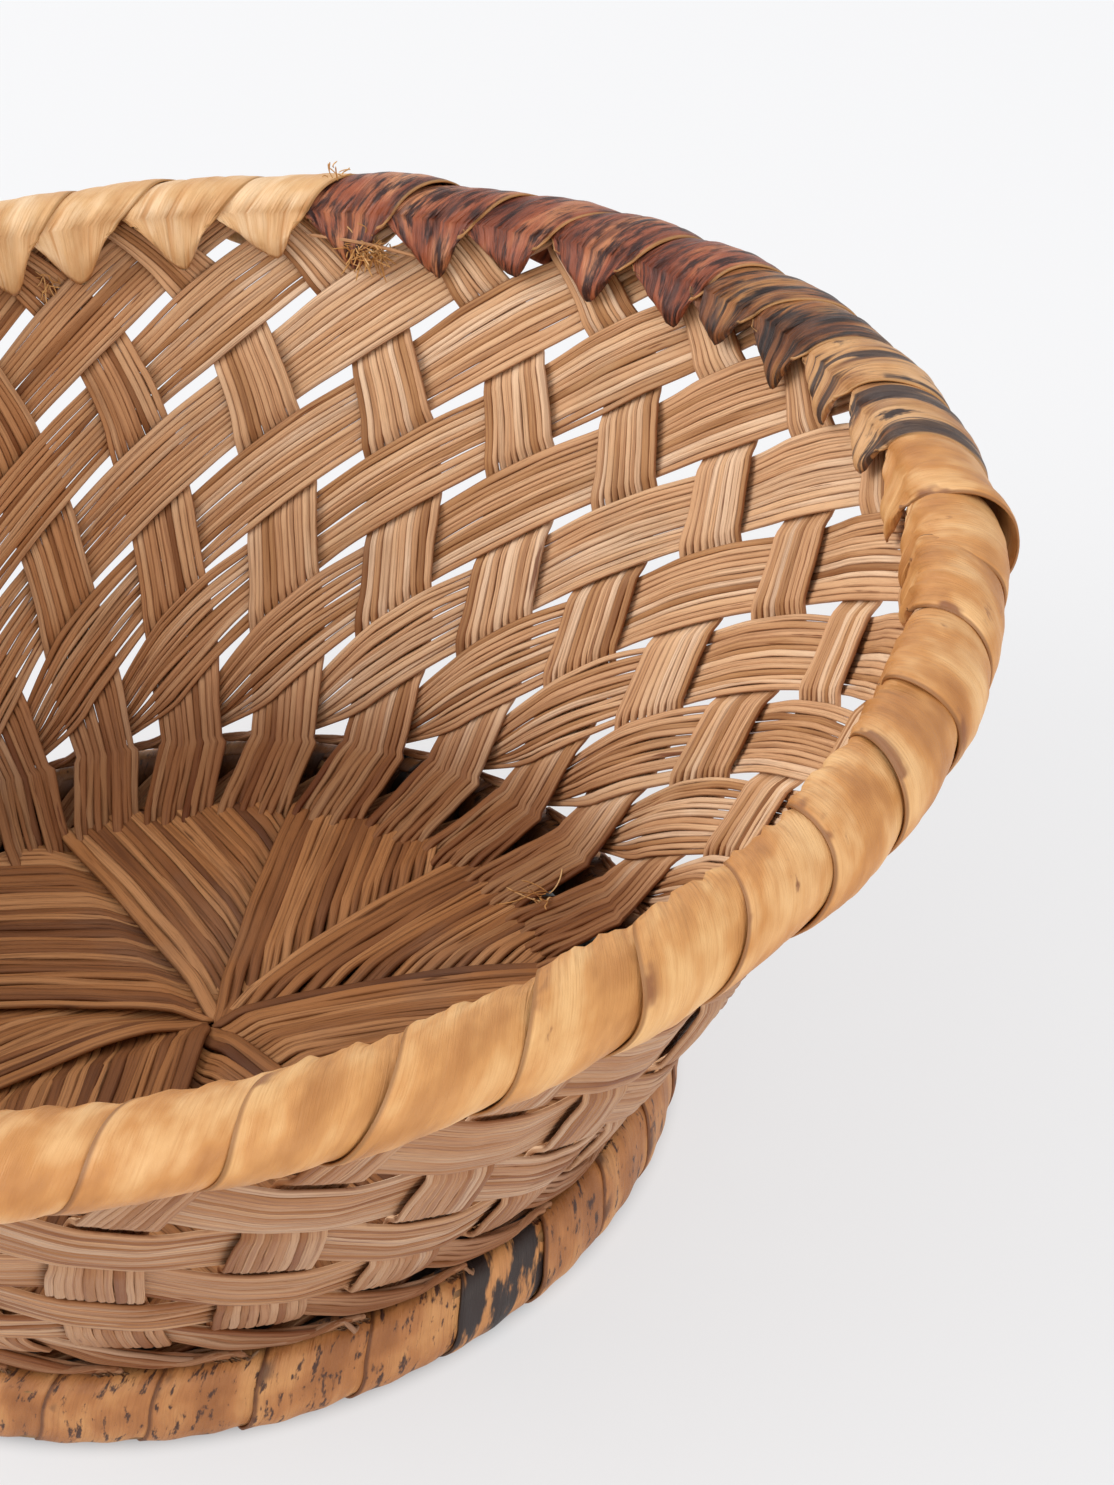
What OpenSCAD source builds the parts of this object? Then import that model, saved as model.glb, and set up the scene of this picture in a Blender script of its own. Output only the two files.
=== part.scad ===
// Round footed basket, diagonally woven from bundles of split cane,
// with a bark-bound rim and a bark-bound foot ring.
// Millimetres. Z up, origin on the table under the middle of the basket.

/* [Overall] */
// Outer radius of the bound rim
rim_r = 150; // [130:1:180]
// Height from the table to the top of the rim
total_h = 114; // [100:1:140]
// Outer radius of the foot ring
foot_r = 91; // [78:1:104]

/* [Foot ring] */
// Width of the bound foot ring, measured along the radius
foot_w = 9; // [8:0.5:12]
// Height of the bound foot ring
foot_h = 15; // [12:0.5:18]
// Turns of bark round the foot ring
foot_turns = 32; // [24:1:40]

/* [Rim] */
// Width of the bound rim, measured along the radius
rim_w = 16; // [14:0.5:19]
// Height of the bound rim
rim_h = 12; // [11:0.5:14.5]
// Turns of bark round the rim
rim_turns = 48; // [36:1:60]
// Azimuth at which the first turn of the rim binding starts, in degrees
rim_turn_phase = 3; // [0:0.5:7]
// Thickness of the bark strips on the rim and the foot
bark_t = 0.8; // [0.6:0.1:1]

/* [Weave] */
// Number of stakes, and of weavers
n_bundles = 28; // [24:2:30]
// Thickness of a strand of cane
cane_t = 1.1; // [0.9:0.05:1.35]
// Rows of crossings between the base edge and the rim
levels = 6.1; // [5.1:1:7.1]
// Share of the pitch that a stake covers
stake_cover = 0.6; // [0.5:0.01:0.66]
// Share of the pitch that a weaver covers
weaver_cover = 0.76; // [0.6:0.01:0.8]
// How far the stakes sweep round in the last rows under the rim, in degrees
lean_end = 13; // [0:0.5:16]
// How far the stakes sweep round evenly on the way up, in degrees
lean_steady = 2.5; // [0:0.5:5]
// Azimuth of the first stake, in degrees
stake_phase = 2.6; // [0:0.1:12]
// How strongly the wall bows outwards, 1 being a straight cone
bow = 0.8; // [0.7:0.05:1]

/* [Base] */
// How far the floor lies below the sharp edge where the stakes turn up
floor_drop = 6; // [5:0.5:8]
// Width of the open ring between the floor and that edge
edge_band = 17.3; // [15:0.1:20]
// Radius of the hole left in the middle of the floor
hub_r = 4; // [3:0.5:8]
// Width of the flap that each arm passes under the next one
flap_w = 6; // [4:0.5:7]

/* [Hidden] */
// Directions of the leading edges of the eight arms of the floor, anticlockwise first
ARM_EDGES = [158, 105, 69, 33, -8, -63, -120, -164];
// Where the arms cross, which is a little off the axis, as hand work is
ARM_CENTRE = [6.5, 2.5];
// Free space between layers that lie on each other
gap = 0.3;
// Extra free space where the sharp edge passes the foot ring
edge_lift = 3;
edge_inset = 1.3;

pitch = 360 / n_bundles;
amp = 0.5 * (cane_t + gap) * 1.15;
edge_r = foot_r - foot_w + edge_inset;
edge_z = foot_h + edge_lift;
floor_z = edge_z - floor_drop;
arm_r = edge_r - edge_band;
flap_z = floor_z - cane_t - gap;
spoke_z = flap_z - cane_t - gap;
spoke_inner_r = 3.5 * hub_r;
flap_inner_r = 4 * hub_r;
rim_c = [rim_r - rim_w / 2, total_h - rim_h / 2];
top_r = rim_c[0] - 1;
top_z = rim_c[1];
top_level = levels + 0.06;
foot_c = [foot_r - foot_w / 2, foot_h / 2];

// Which turns of the rim binding are which bark, as [first turn, last turn]
PALE_TURNS = [[8, 16], [36, 39]];
DARK_TURNS = [[1, 7], [27, 30]];
STRIPED_TURNS = [[0, 0], [26, 26], [31, 31], [47, 47]];
DARK_FOOT_TURNS = [4, 9, 17, 26];

NODES = [
    for (i = [1 : n_bundles]) str("stake_", i < 10 ? "0" : "", i),
    for (i = [1 : n_bundles / 2]) str("weaver_pair_", i < 10 ? "0" : "", i),
    for (i = [1 : len(ARM_EDGES)]) str("base_arm_", i),
    "rim_hoop_inner", "rim_hoop_outer",
    "rim_binding_pale", "rim_binding_dark", "rim_binding_striped", "rim_binding_honey",
    "foot_hoop", "foot_binding_tan", "foot_binding_dark"
];

CANE = "#b98d62";
CANE_DARK = "#9c7048";
HOOP = "#8f6b47";

// ---- Shapes of the weave ----
// A place on the wall is a row m, counted upwards, and a position s, counted round.
// Stakes keep their position; a weaver loses one position in each row it climbs.

function share(m) = max(m, 0) / levels;

// The wall's middle surface at a row, as [radius, height]
function wall(m) = [
    edge_r + (top_r - edge_r) * pow(share(m), bow),
    edge_z + (top_z - edge_z) * share(m)
];

// How far the stakes have swept round at a row
function lean(m) = lean_end * pow(share(m), 4.5) + lean_steady * share(m);

// Below this row the weavers leave the wall and bend down to the foot ring
FOOT_ROW = 0.5;
LAST_ROW = -0.8;
function bezier(a, b, c, t) = a * (1 - t) * (1 - t) + b * 2 * t * (1 - t) + c * t * t;
seat_z = foot_h + gap + cane_t / 2 - amp;
foot_bend = [foot_c[0] - 2.5, seat_z];
foot_seat = [foot_c[0] + 1.5, seat_z];
function weaver_wall(m) = m >= FOOT_ROW ? wall(m)
    : bezier(wall(FOOT_ROW), foot_bend, foot_seat, (FOOT_ROW - m) / (FOOT_ROW - LAST_ROW));

// Unit normal of a profile, towards the inside of the basket
function inward(a, b) = let (d = b - a) [-d[1], d[0]] / norm(d);
SLOPE_STEP = 0.02;
function wall_normal(m) = inward(wall(m - SLOPE_STEP), wall(m + SLOPE_STEP));
function weaver_normal(m) = inward(weaver_wall(m - SLOPE_STEP), weaver_wall(m + SLOPE_STEP));

// A wave through the crossings: 1 on the even ones, -1 on the odd ones, flat on both
CREST = 0.36;
function wave(x) =
    let (k = round(x), f = abs(x - k))
    (k % 2 == 0 ? 1 : -1) * (f < CREST ? 1 : 1 - (f - CREST) / (0.5 - CREST));

// Azimuth of a place on the wall
function azimuth(s, m) = stake_phase + pitch * s + lean(m);

// One edge of a bundle's section, as its outer and inner corner: p and n are the profile
// point and normal, a the azimuth and d the offset from the profile
function turned(p, a) = [p[0] * cos(a), p[0] * sin(a), p[1]];
function edge(p, n, a, d) = [turned(p + n * (d + cane_t / 2), a), turned(p + n * (d - cane_t / 2), a)];

// The four corners of a section, from its left and right edges
function section(l, r) = [l[0], r[0], r[1], l[1]];

// A flat bundle through its sections
module bundle(sections) {
    n = len(sections);
    points = [for (s = sections) each s];
    sides = [for (i = [0 : n - 2], k = [0 : 3])
        let (a = 4 * i + k, b = 4 * i + (k + 1) % 4)
        each [[a, b + 4, b], [a, a + 4, b + 4]]];
    polyhedron(
        points = points,
        faces = concat(
            [[0, 1, 2], [0, 2, 3]],
            [[4 * n - 4, 4 * n - 2, 4 * n - 3], [4 * n - 4, 4 * n - 1, 4 * n - 2]],
            sides),
        convexity = 10);
}

// The rows at which a bundle's sections are taken, up to the row its end closes at
END_SLIVER = 0.02;
function crossing_rows(end) = concat(
    [for (k = [0 : ceil(levels)], f = [-CREST, 0, CREST])
        if (k + f > CREST / 2 && k + f < end - 2 * END_SLIVER) k + f],
    [end - END_SLIVER]);

// ---- Stakes: from the middle of the floor, over the edge and up to the rim ----

// The spoke under the floor, as [radius, height, share of the pitch covered]
SPOKE_COVER = 0.9;
spoke_stations = [
    [spoke_inner_r, spoke_z, SPOKE_COVER],
    [arm_r - 6, spoke_z, SPOKE_COVER],
    [arm_r, spoke_z + 1.2, 0.8],
    [arm_r + 0.35 * edge_band, floor_z + 0.9, 0.7],
    [arm_r + 0.7 * edge_band, floor_z + 0.6 * floor_drop, stake_cover]
];
SPOKE_SLOPE = 22;
function spoke_section(s, a) =
    let (slope = s[0] > arm_r ? SPOKE_SLOPE : 0, n = [-sin(slope), cos(slope)],
         p = [s[0], s[1]], half = s[2] * pitch / 2)
    section(edge(p, n, a + half, 0), edge(p, n, a - half, 0));

// A stake's section lies along the weavers, so that it is level where it crosses them
STAKE_SHEAR_ROW = 0.5;
function stake_edge(i, q, m, t) = edge(wall(m), wall_normal(m), azimuth(i + q, m), amp * wave(t));
function stake_section(i, t) =
    let (half = stake_cover / 2, shear = min(t / STAKE_SHEAR_ROW, 1) * half,
         low = t - shear, high = min(t + shear, top_level), q = max(-half, t - top_level))
    section(stake_edge(i, half, low, t), stake_edge(i, q, high, t));

module stake(i) {
    a = azimuth(i, 0);
    bundle(concat(
        [for (s = spoke_stations) spoke_section(s, a)],
        [stake_section(i, 0)],
        [for (t = crossing_rows(top_level + stake_cover / 2)) stake_section(i, t)]));
}

// ---- Weavers: from the foot ring, round and up to the rim ----

// The share of the pitch that a weaver covers, which closes up towards the foot
function weaver_share(t) = t >= 1 ? weaver_cover
    : weaver_cover * (0.3 + 0.7 * (t - LAST_ROW) / (1 - LAST_ROW));

// A weaver's section lies along the stakes, but along the foot ring at its lower end
WEAVER_SHEAR_ROW = 0.64;
function weaver_edge(j, half, m) =
    edge(weaver_wall(m), weaver_normal(m), azimuth(j - m + half, m), -amp * wave(max(m - half, 0)));
function weaver_section(j, t) =
    let (half = weaver_share(t) / 2,
         shear = min((t - LAST_ROW) / (WEAVER_SHEAR_ROW - LAST_ROW), 1) * half,
         high = min(t + shear, top_level))
    section(
        weaver_edge(j, t + shear > top_level ? top_level - t : half, high),
        weaver_edge(j, -half, t - shear));

module weaver(j) {
    bundle(concat(
        [for (t = [LAST_ROW : -LAST_ROW / 2 : 0]) weaver_section(j, t)],
        [for (t = crossing_rows(top_level + weaver_cover / 2)) weaver_section(j, t)]));
}

module weaver_pair(j) {
    weaver(j);
    weaver(j + n_bundles / 2);
}

// ---- Floor: eight arms, each passing under the next ----

module slab(z0, z1) {
    translate([0, 0, z0])
        linear_extrude(z1 - z0) children();
}

// The wedge between an arm's leading edge and the next arm's
module arm_outline(first, next) {
    reach = 2 * arm_r;
    intersection() {
        circle(r = arm_r, $fn = 96);
        translate(ARM_CENTRE)
            polygon([
                [cos(first), sin(first)] * hub_r,
                [cos(first), sin(first)] * reach,
                [cos(next), sin(next)] * reach + [-sin(next), cos(next)] * gap,
                [cos(next), sin(next)] * hub_r + [-sin(next), cos(next)] * gap
            ]);
    }
}

// A strip along the next arm's leading edge, from y0 to y1 across it
module edge_strip(next, y0, y1, inset) {
    length = arm_r - 14 - flap_inner_r;
    translate(ARM_CENTRE)
        rotate(next)
        translate([flap_inner_r + inset, y0])
        square([length - 2 * inset, y1 - y0]);
}

module base_arm(i) {
    first = ARM_EDGES[i - 1];
    next = ARM_EDGES[i % len(ARM_EDGES)];
    riser_w = 1.2;
    riser_inset = 0.4;
    half = cane_t / 2;
    color(CANE_DARK) {
        slab(floor_z - half, floor_z + half) arm_outline(first, next);
        slab(flap_z - half, flap_z + half)
            edge_strip(next, -flap_w, gap + riser_w + 2 * riser_inset, 0);
        slab(flap_z, floor_z)
            edge_strip(next, gap + riser_inset, gap + riser_inset + riser_w, riser_inset);
    }
}

// ---- Rim and foot ring ----

PROFILE_POINTS = 24;

// An oval with its middle at c
function oval(c, w, h) = [for (k = [0 : PROFILE_POINTS - 1])
    let (t = 360 * k / PROFILE_POINTS) c + [w / 2 * cos(t), h / 2 * sin(t)]];

// A ring of a profile, for one turn of the binding
module turn(q, turns, phase) {
    step = 360 / turns;
    space = 0.08;
    rotate(phase + q * step)
        rotate_extrude(angle = step - space, $fn = 96) children();
}

// Half the thickness of the woven edge that the hoops hold between them
edge_half = amp + cane_t / 2;
slot_half = edge_half + gap;

module rim_section() {
    n = wall_normal(levels);
    along = [n[1], -n[0]];
    mouth = wall(levels) - along * rim_h;
    inside = wall(levels) - along * 2;
    difference() {
        polygon(oval(rim_c, rim_w, rim_h));
        polygon(oval(rim_c, rim_w - 2 * bark_t, rim_h - 2 * bark_t));
        polygon([mouth + n * slot_half, inside + n * slot_half,
                 inside - n * slot_half, mouth - n * slot_half]);
    }
}

function in_runs(q, runs) = len([for (r = runs) if (q >= r[0] && q <= r[1]) 1]) > 0;
function is_pale(q) = in_runs(q, PALE_TURNS);
function is_dark(q) = in_runs(q, DARK_TURNS);
function is_striped(q) = in_runs(q, STRIPED_TURNS);

module rim_turn(q) {
    turn(q, rim_turns, rim_turn_phase) rim_section();
}

// The hoops fill the space on each side of the woven edge
cavity_w = rim_w - 2 * (bark_t + gap);
cavity_h = rim_h - 2 * (bark_t + gap);
module rim_hoop(side) {
    n = wall_normal(levels);
    along = [n[1], -n[0]];
    face = wall(levels) + n * side * slot_half;
    far = 2 * rim_w;
    rotate_extrude($fn = 96)
        intersection() {
            polygon(oval(rim_c, cavity_w, cavity_h));
            polygon([face - along * far, face + along * far,
                     face + along * far + n * side * far, face - along * far + n * side * far]);
        }
}

// A foot ring section with a flat to stand on, inset all round by d
foot_corner = 3;
function foot_outline(d) =
    let (w = foot_w / 2 - d, h = foot_h / 2 - d, c = foot_corner - d,
         corners = [[w - c, h - c, 0], [c - w, h - c, 90], [c - w, c - h, 180], [w - c, c - h, 270]])
    [for (k = corners, t = [0 : 22.5 : 90])
        foot_c + [k[0], k[1]] + c * [cos(k[2] + t), sin(k[2] + t)]];

module foot_turn(q) {
    turn(q, foot_turns, 0)
        difference() {
            polygon(foot_outline(0));
            polygon(foot_outline(bark_t));
        }
}

module foot_hoop() {
    color(HOOP)
        rotate_extrude($fn = 96) polygon(foot_outline(bark_t + gap));
}

// ---- Nodes ----

module wanted(name) {
    children();
}

for (i = [1 : n_bundles])
    wanted(NODES[i - 1]) color(CANE) stake(i - 1);
for (i = [1 : n_bundles / 2])
    wanted(NODES[n_bundles + i - 1]) color(CANE) weaver_pair(i - 1);
for (i = [1 : len(ARM_EDGES)])
    wanted(str("base_arm_", i)) base_arm(i);
color(HOOP) rim_hoop(1);  // rim_hoop_inner
color(HOOP) rim_hoop(-1);  // rim_hoop_outer
color("#d9b27a")  // rim_binding_pale
    for (q = [0 : rim_turns - 1]) if (is_pale(q)) rim_turn(q);
color("#5a3226")  // rim_binding_dark
    for (q = [0 : rim_turns - 1]) if (is_dark(q)) rim_turn(q);
color("#8a5f38")  // rim_binding_striped
    for (q = [0 : rim_turns - 1]) if (is_striped(q)) rim_turn(q);
color("#cf9a52")  // rim_binding_honey
    for (q = [0 : rim_turns - 1])
        if (!is_pale(q) && !is_dark(q) && !is_striped(q)) rim_turn(q);
foot_hoop();
color("#b98450")  // foot_binding_tan
    for (q = [0 : foot_turns - 1])
        if (len(search(q, DARK_FOOT_TURNS)) == 0) foot_turn(q);
color("#4a3a2e")  // foot_binding_dark
    for (q = DARK_FOOT_TURNS) foot_turn(q);
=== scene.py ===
"""Looks of a round footed basket: split-cane strands woven on the slant, a pinwheel floor,
and bark strips wound round the rim and the foot ring. Metres, Z up, standing on z = 0."""

import math

import bpy
import numpy as np
from mathutils import Matrix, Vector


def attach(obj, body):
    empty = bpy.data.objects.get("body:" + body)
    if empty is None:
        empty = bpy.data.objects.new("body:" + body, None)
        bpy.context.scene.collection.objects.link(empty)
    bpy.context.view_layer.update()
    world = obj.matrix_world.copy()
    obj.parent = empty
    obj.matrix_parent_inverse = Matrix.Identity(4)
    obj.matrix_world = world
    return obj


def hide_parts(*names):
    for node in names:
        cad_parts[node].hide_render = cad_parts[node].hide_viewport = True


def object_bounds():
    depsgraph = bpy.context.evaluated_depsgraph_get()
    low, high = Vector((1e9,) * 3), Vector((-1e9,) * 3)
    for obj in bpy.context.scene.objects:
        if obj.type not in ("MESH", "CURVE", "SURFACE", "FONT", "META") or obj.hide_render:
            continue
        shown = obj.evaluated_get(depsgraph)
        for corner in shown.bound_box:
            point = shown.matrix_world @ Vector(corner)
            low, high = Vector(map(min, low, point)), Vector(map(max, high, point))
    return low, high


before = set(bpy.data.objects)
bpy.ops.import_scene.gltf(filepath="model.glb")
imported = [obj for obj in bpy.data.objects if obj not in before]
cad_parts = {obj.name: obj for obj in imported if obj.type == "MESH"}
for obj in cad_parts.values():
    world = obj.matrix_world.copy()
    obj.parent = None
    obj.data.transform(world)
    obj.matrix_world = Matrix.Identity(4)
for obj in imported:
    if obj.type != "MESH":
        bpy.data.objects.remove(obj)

cad_low, cad_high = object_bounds()
rng = np.random.default_rng(28)

# ---- Sizes, in metres and degrees: the same weave as the solid model's ----

MM = 0.001
BUNDLES = 28  # stakes, and as many weavers
PITCH = 360 / BUNDLES
RIM_C = (cad_high[0] - 8 * MM, cad_high[2] - 6 * MM)  # middle of the rim's section
FOOT_C = (cad_high[0] - 63.5 * MM, 7.5 * MM)  # middle of the foot ring's section
LEVELS = 6.1  # rows of crossings from the base edge to the rim
EDGE_R, EDGE_Z = 83.3 * MM, 18 * MM  # the base edge, where the wall starts
TOP_R, TOP_Z = cad_high[0] - 9 * MM, RIM_C[1]
TOP_ROW = LEVELS + 0.4  # where the bundles end inside the rim
ROWS_CLOSE_UP = 0.075  # share of the wall's height by which the rows close up under the rim
BOW = 0.8  # power of the height by which the wall's radius grows
LEAN_END = 13  # degrees that the bundles sweep round, mostly in the last rows
LEAN_STEADY = 2.5  # and degrees that they lean evenly on the way up
STAKE_PHASE = 2.6  # azimuth of the first stake
AMP = 0.82 * MM  # how far a bundle goes in and out of the wall's middle surface
FLOOR_Z = 12 * MM
FLOOR_R = 66 * MM
HUB = np.array([6.5, 2.5]) * MM  # where the floor's arms meet
# Rows where the weavers leave the wall's profile, where they reach the foot ring and where they
# end; rows under 0 are past the base edge
FOOT_ROW, LAST_ROW, TAIL_ROW = 0.5, -0.8, -2.0
SNUG = 1.08  # a strand's width as a share of its room, so that no slit shows between strands
STAKE_SEED, WEAVER_SEED, ARM_SEED = 100, 500, 900


def unit(v):
    return v / np.maximum(np.linalg.norm(v, axis=-1, keepdims=True), 1e-12)


def smooth(x):
    """Rises from 0 to 1 as x does, level at both ends."""
    x = np.clip(x, 0, 1)
    return x * x * (3 - 2 * x)


def squared_off(v, power):
    """A sine or cosine raised to a power with its sign kept, which squares off an oval."""
    return np.sign(v) * np.abs(v) ** power


def wander(count, x, length, seed):
    """A slow random curve for each of count rows along x, about 1 high, of that wavelength:
    the sum of three sines with random phases."""
    r = np.random.default_rng(seed)
    total = 0
    for k in (1.0, 0.53, 0.31):
        phase = r.uniform(0, 2 * np.pi, (count, 1))
        stretch = r.uniform(0.8, 1.25, (count, 1))
        total = total + k * np.sin(2 * np.pi * x * stretch / (length * k) + phase)
    return total / 1.4


# ---- Meshes from arrays ----


def make_mesh(name, points, quads, ends, attributes):
    """A smooth closed mesh from arrays: points (n, 3), quads (m, 4) and end faces (e, k), turned
    outwards by the sign of the volume inside, with named point vectors for the materials."""
    a, b, c, d = (points[quads[:, i]] for i in range(4))
    volume = np.einsum("ij,ij->", np.cross(a, b), c) + np.einsum("ij,ij->", np.cross(a, c), d)
    if volume < 0:
        quads = quads[:, ::-1]
        ends = ends[:, ::-1]
    mesh = bpy.data.meshes.new(name)
    mesh.vertices.add(len(points))
    mesh.vertices.foreach_set("co", points.astype(np.float32).ravel())
    corners = np.concatenate([quads.ravel(), ends.ravel()]).astype(np.int32)
    sizes = np.concatenate([np.full(len(quads), 4), np.full(len(ends), ends.shape[1])])
    starts = np.concatenate([[0], np.cumsum(sizes)[:-1]]).astype(np.int32)
    mesh.loops.add(len(corners))
    mesh.loops.foreach_set("vertex_index", corners)
    mesh.polygons.add(len(sizes))
    mesh.polygons.foreach_set("loop_start", starts)
    mesh.update(calc_edges=True)
    mesh.polygons.foreach_set("use_smooth", np.ones(len(sizes), bool))
    for key, values in attributes.items():
        layer = mesh.attributes.new(key, "FLOAT_VECTOR", "POINT")
        layer.data.foreach_set("vector", values.astype(np.float32).ravel())
    mesh.update()
    return mesh


def add_piece(name, mesh, material, nodes=()):
    """Puts a mesh in the scene on the basket's one body, in place of the CAD nodes named."""
    piece = bpy.data.objects.new(name, mesh)
    bpy.context.scene.collection.objects.link(piece)
    mesh.materials.append(material)
    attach(piece, "root")
    if nodes:
        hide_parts(*nodes)


def ring_mesh(name, rings, attributes):
    """Closed tubes through rings of points, (tubes, stations, ring, 3), with flat ends."""
    tubes, stations, ring = rings.shape[:3]
    index = np.arange(tubes * stations * ring).reshape(tubes, stations, ring)
    here, ahead = index[:, :-1], index[:, 1:]
    quads = np.stack(
        [here, ahead, np.roll(ahead, -1, axis=2), np.roll(here, -1, axis=2)], axis=-1
    ).reshape(-1, 4)
    ends = np.concatenate([index[:, 0], index[:, -1, ::-1]])
    flat = {k: v.reshape(-1, 3) for k, v in attributes.items()}
    return make_mesh(name, rings.reshape(-1, 3), quads, ends, flat)


SIDES = 8  # points round a strand
SQUARE_ACROSS, SQUARE_UP = 0.6, 0.8  # powers that square off its oval section
END_SIZE = 0.45  # share of its section that a strand keeps at its cut ends


def strand_mesh(name, path, up, half_w, half_t, tone):
    """Cane strands swept along path (strands, stations, 3), with up the surface normal there.
    The section is a flattened oval half_w wide and half_t high on each side, closed at the ends.
    The cane attribute holds the distance along, the strand's tone and its number, and the
    section attribute the place round the section as cosine and sine."""
    count, stations = path.shape[:2]
    ahead = unit(np.gradient(path, axis=1))
    up = unit(up - ahead * np.sum(up * ahead, axis=-1, keepdims=True))
    side = np.cross(ahead, up)
    turn = 2 * np.pi * (np.arange(SIDES) + 0.5) / SIDES
    cos, sin = np.cos(turn), np.sin(turn)
    ends = np.ones(stations)
    ends[[0, -1]] = END_SIZE
    half_w = np.broadcast_to(half_w, (count, stations)) * ends
    half_t = np.broadcast_to(half_t, (count, stations)) * ends
    rings = (
        path[:, :, None]
        + side[:, :, None] * (half_w[:, :, None] * squared_off(cos, SQUARE_ACROSS))[..., None]
        + up[:, :, None] * (half_t[:, :, None] * squared_off(sin, SQUARE_UP))[..., None]
    )
    step = np.linalg.norm(np.diff(path, axis=1), axis=-1)
    along = np.concatenate([np.zeros((count, 1)), np.cumsum(step, axis=1)], axis=1)
    shape = (count, stations, SIDES)
    number = np.arange(count)[:, None, None] + 10 * tone[:, None, None]
    cane = np.stack(
        [
            np.broadcast_to(along[:, :, None], shape),
            np.broadcast_to(tone[:, None, None], shape),
            np.broadcast_to(number, shape),
        ],
        axis=-1,
    )
    section = np.stack(
        [np.broadcast_to(cos, shape), np.broadcast_to(sin, shape), np.zeros(shape)], axis=-1
    )
    return ring_mesh(name, rings, {"cane": cane, "section": section})


# ---- Shape of the weave ----

# m is a place up the wall in rows, s a place round it in pitches, and q a place across a stake
# in pitches. wr, pr and nr are radii, and wz, pz and nz the heights that go with them.


def climb(m):
    """Share of the wall's height reached at row m; the rows close up under the rim."""
    m = np.maximum(m, 0)
    return m / LEVELS * (1 - ROWS_CLOSE_UP * (m / TOP_ROW) ** 4)


def wall(m):
    """Radius and height of the wall's middle surface at row m."""
    share = climb(m)
    return EDGE_R + (TOP_R - EDGE_R) * share**BOW, EDGE_Z + (TOP_Z - EDGE_Z) * share


def foot_wall(m):
    """The weavers' profile: the wall, below FOOT_ROW a curve down to the foot ring's top, and
    below LAST_ROW the tails that go in under the stakes."""
    seat = 15.1 * MM
    bend_r, seat_r = FOOT_C[0] - 2.5 * MM, FOOT_C[0] + 1.5 * MM
    tail_in, tail_down = 16 * MM, 5.5 * MM
    t = np.clip((FOOT_ROW - m) / (FOOT_ROW - LAST_ROW), 0, 1)
    r0, z0 = wall(FOOT_ROW)
    r = r0 * (1 - t) ** 2 + bend_r * 2 * t * (1 - t) + seat_r * t**2
    z = z0 * (1 - t) ** 2 + seat * 2 * t * (1 - t) + seat * t**2
    tail = np.maximum(LAST_ROW - m, 0) / (LAST_ROW - TAIL_ROW)
    r = r - tail_in * tail
    z = z - tail_down * smooth(tail * 1.1 - 0.2)
    wr, wz = wall(m)
    return np.where(m > FOOT_ROW, wr, r), np.where(m > FOOT_ROW, wz, z)


def normal_of(profile, m):
    """Unit normal of a profile towards the inside, as radius and height parts."""
    beside = 0.02
    r0, z0 = profile(m - beside)
    r1, z1 = profile(m + beside)
    size = np.hypot(r1 - r0, z1 - z0)
    return -(z1 - z0) / size, (r1 - r0) / size


def lean(m):
    """How far round a bundle has swept at row m, in degrees."""
    share = climb(m)
    return LEAN_END * share**4.5 + LEAN_STEADY * share


def drift(azimuth):
    """Hand-made unevenness of the spacing, in degrees."""
    a = np.radians(azimuth)
    return 0.9 * np.sin(2 * a + 0.3) + 0.6 * np.sin(5 * a + 1.1)


def azimuth_of(s, m):
    """Azimuth in degrees of the place s pitches round and m rows up."""
    a = STAKE_PHASE + PITCH * s + lean(m)
    return a + drift(a)


def turned(r, z, azimuth):
    """Points at a radius, a height and an azimuth in degrees."""
    a = np.radians(azimuth)
    return np.stack([r * np.cos(a), r * np.sin(a), z], axis=-1)


def wave(x, crest):
    """1 on the even crossings and -1 on the odd ones, level within crest of each."""
    k = np.round(x)
    f = np.clip((np.abs(x - k) - crest) / (0.5 - crest), 0, 1)
    return np.where(k % 2 == 0, 1, -1) * np.cos(f * np.pi / 2)


def near(azimuth, centre, reach):
    """A bump that is 1 at an azimuth and fades over reach, all in degrees."""
    away = (azimuth - centre + 180) % 360 - 180
    return np.exp(-((away / reach) ** 2))


def lay_out(count, r, spread=0.17):
    """Centres and widths of strands of random width that together fill -1 to 1."""
    narrowest, widest = 0.6, 1.6
    widths = np.clip(r.normal(1, spread, count), narrowest, widest)
    widths *= 2 / widths.sum()
    return np.cumsum(widths) - widths / 2 - 1, widths


def band_scale(path, centres):
    """How wide one unit of centres is across the band at each station, square to its path."""
    ahead = unit(np.gradient(path[len(path) // 2], axis=0))
    span = path[-1] - path[0]
    span = span - ahead * np.sum(span * ahead, axis=-1, keepdims=True)
    return np.linalg.norm(span, axis=-1) / (centres[-1] - centres[0])


# ---- Materials ----


def new_material(name):
    material = bpy.data.materials.new(name)
    material.use_nodes = True
    tree = material.node_tree
    tree.nodes.clear()
    out = tree.nodes.new("ShaderNodeOutputMaterial")
    shader = tree.nodes.new("ShaderNodeBsdfPrincipled")
    tree.links.new(shader.outputs[0], out.inputs[0])
    return material, tree, shader


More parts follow.
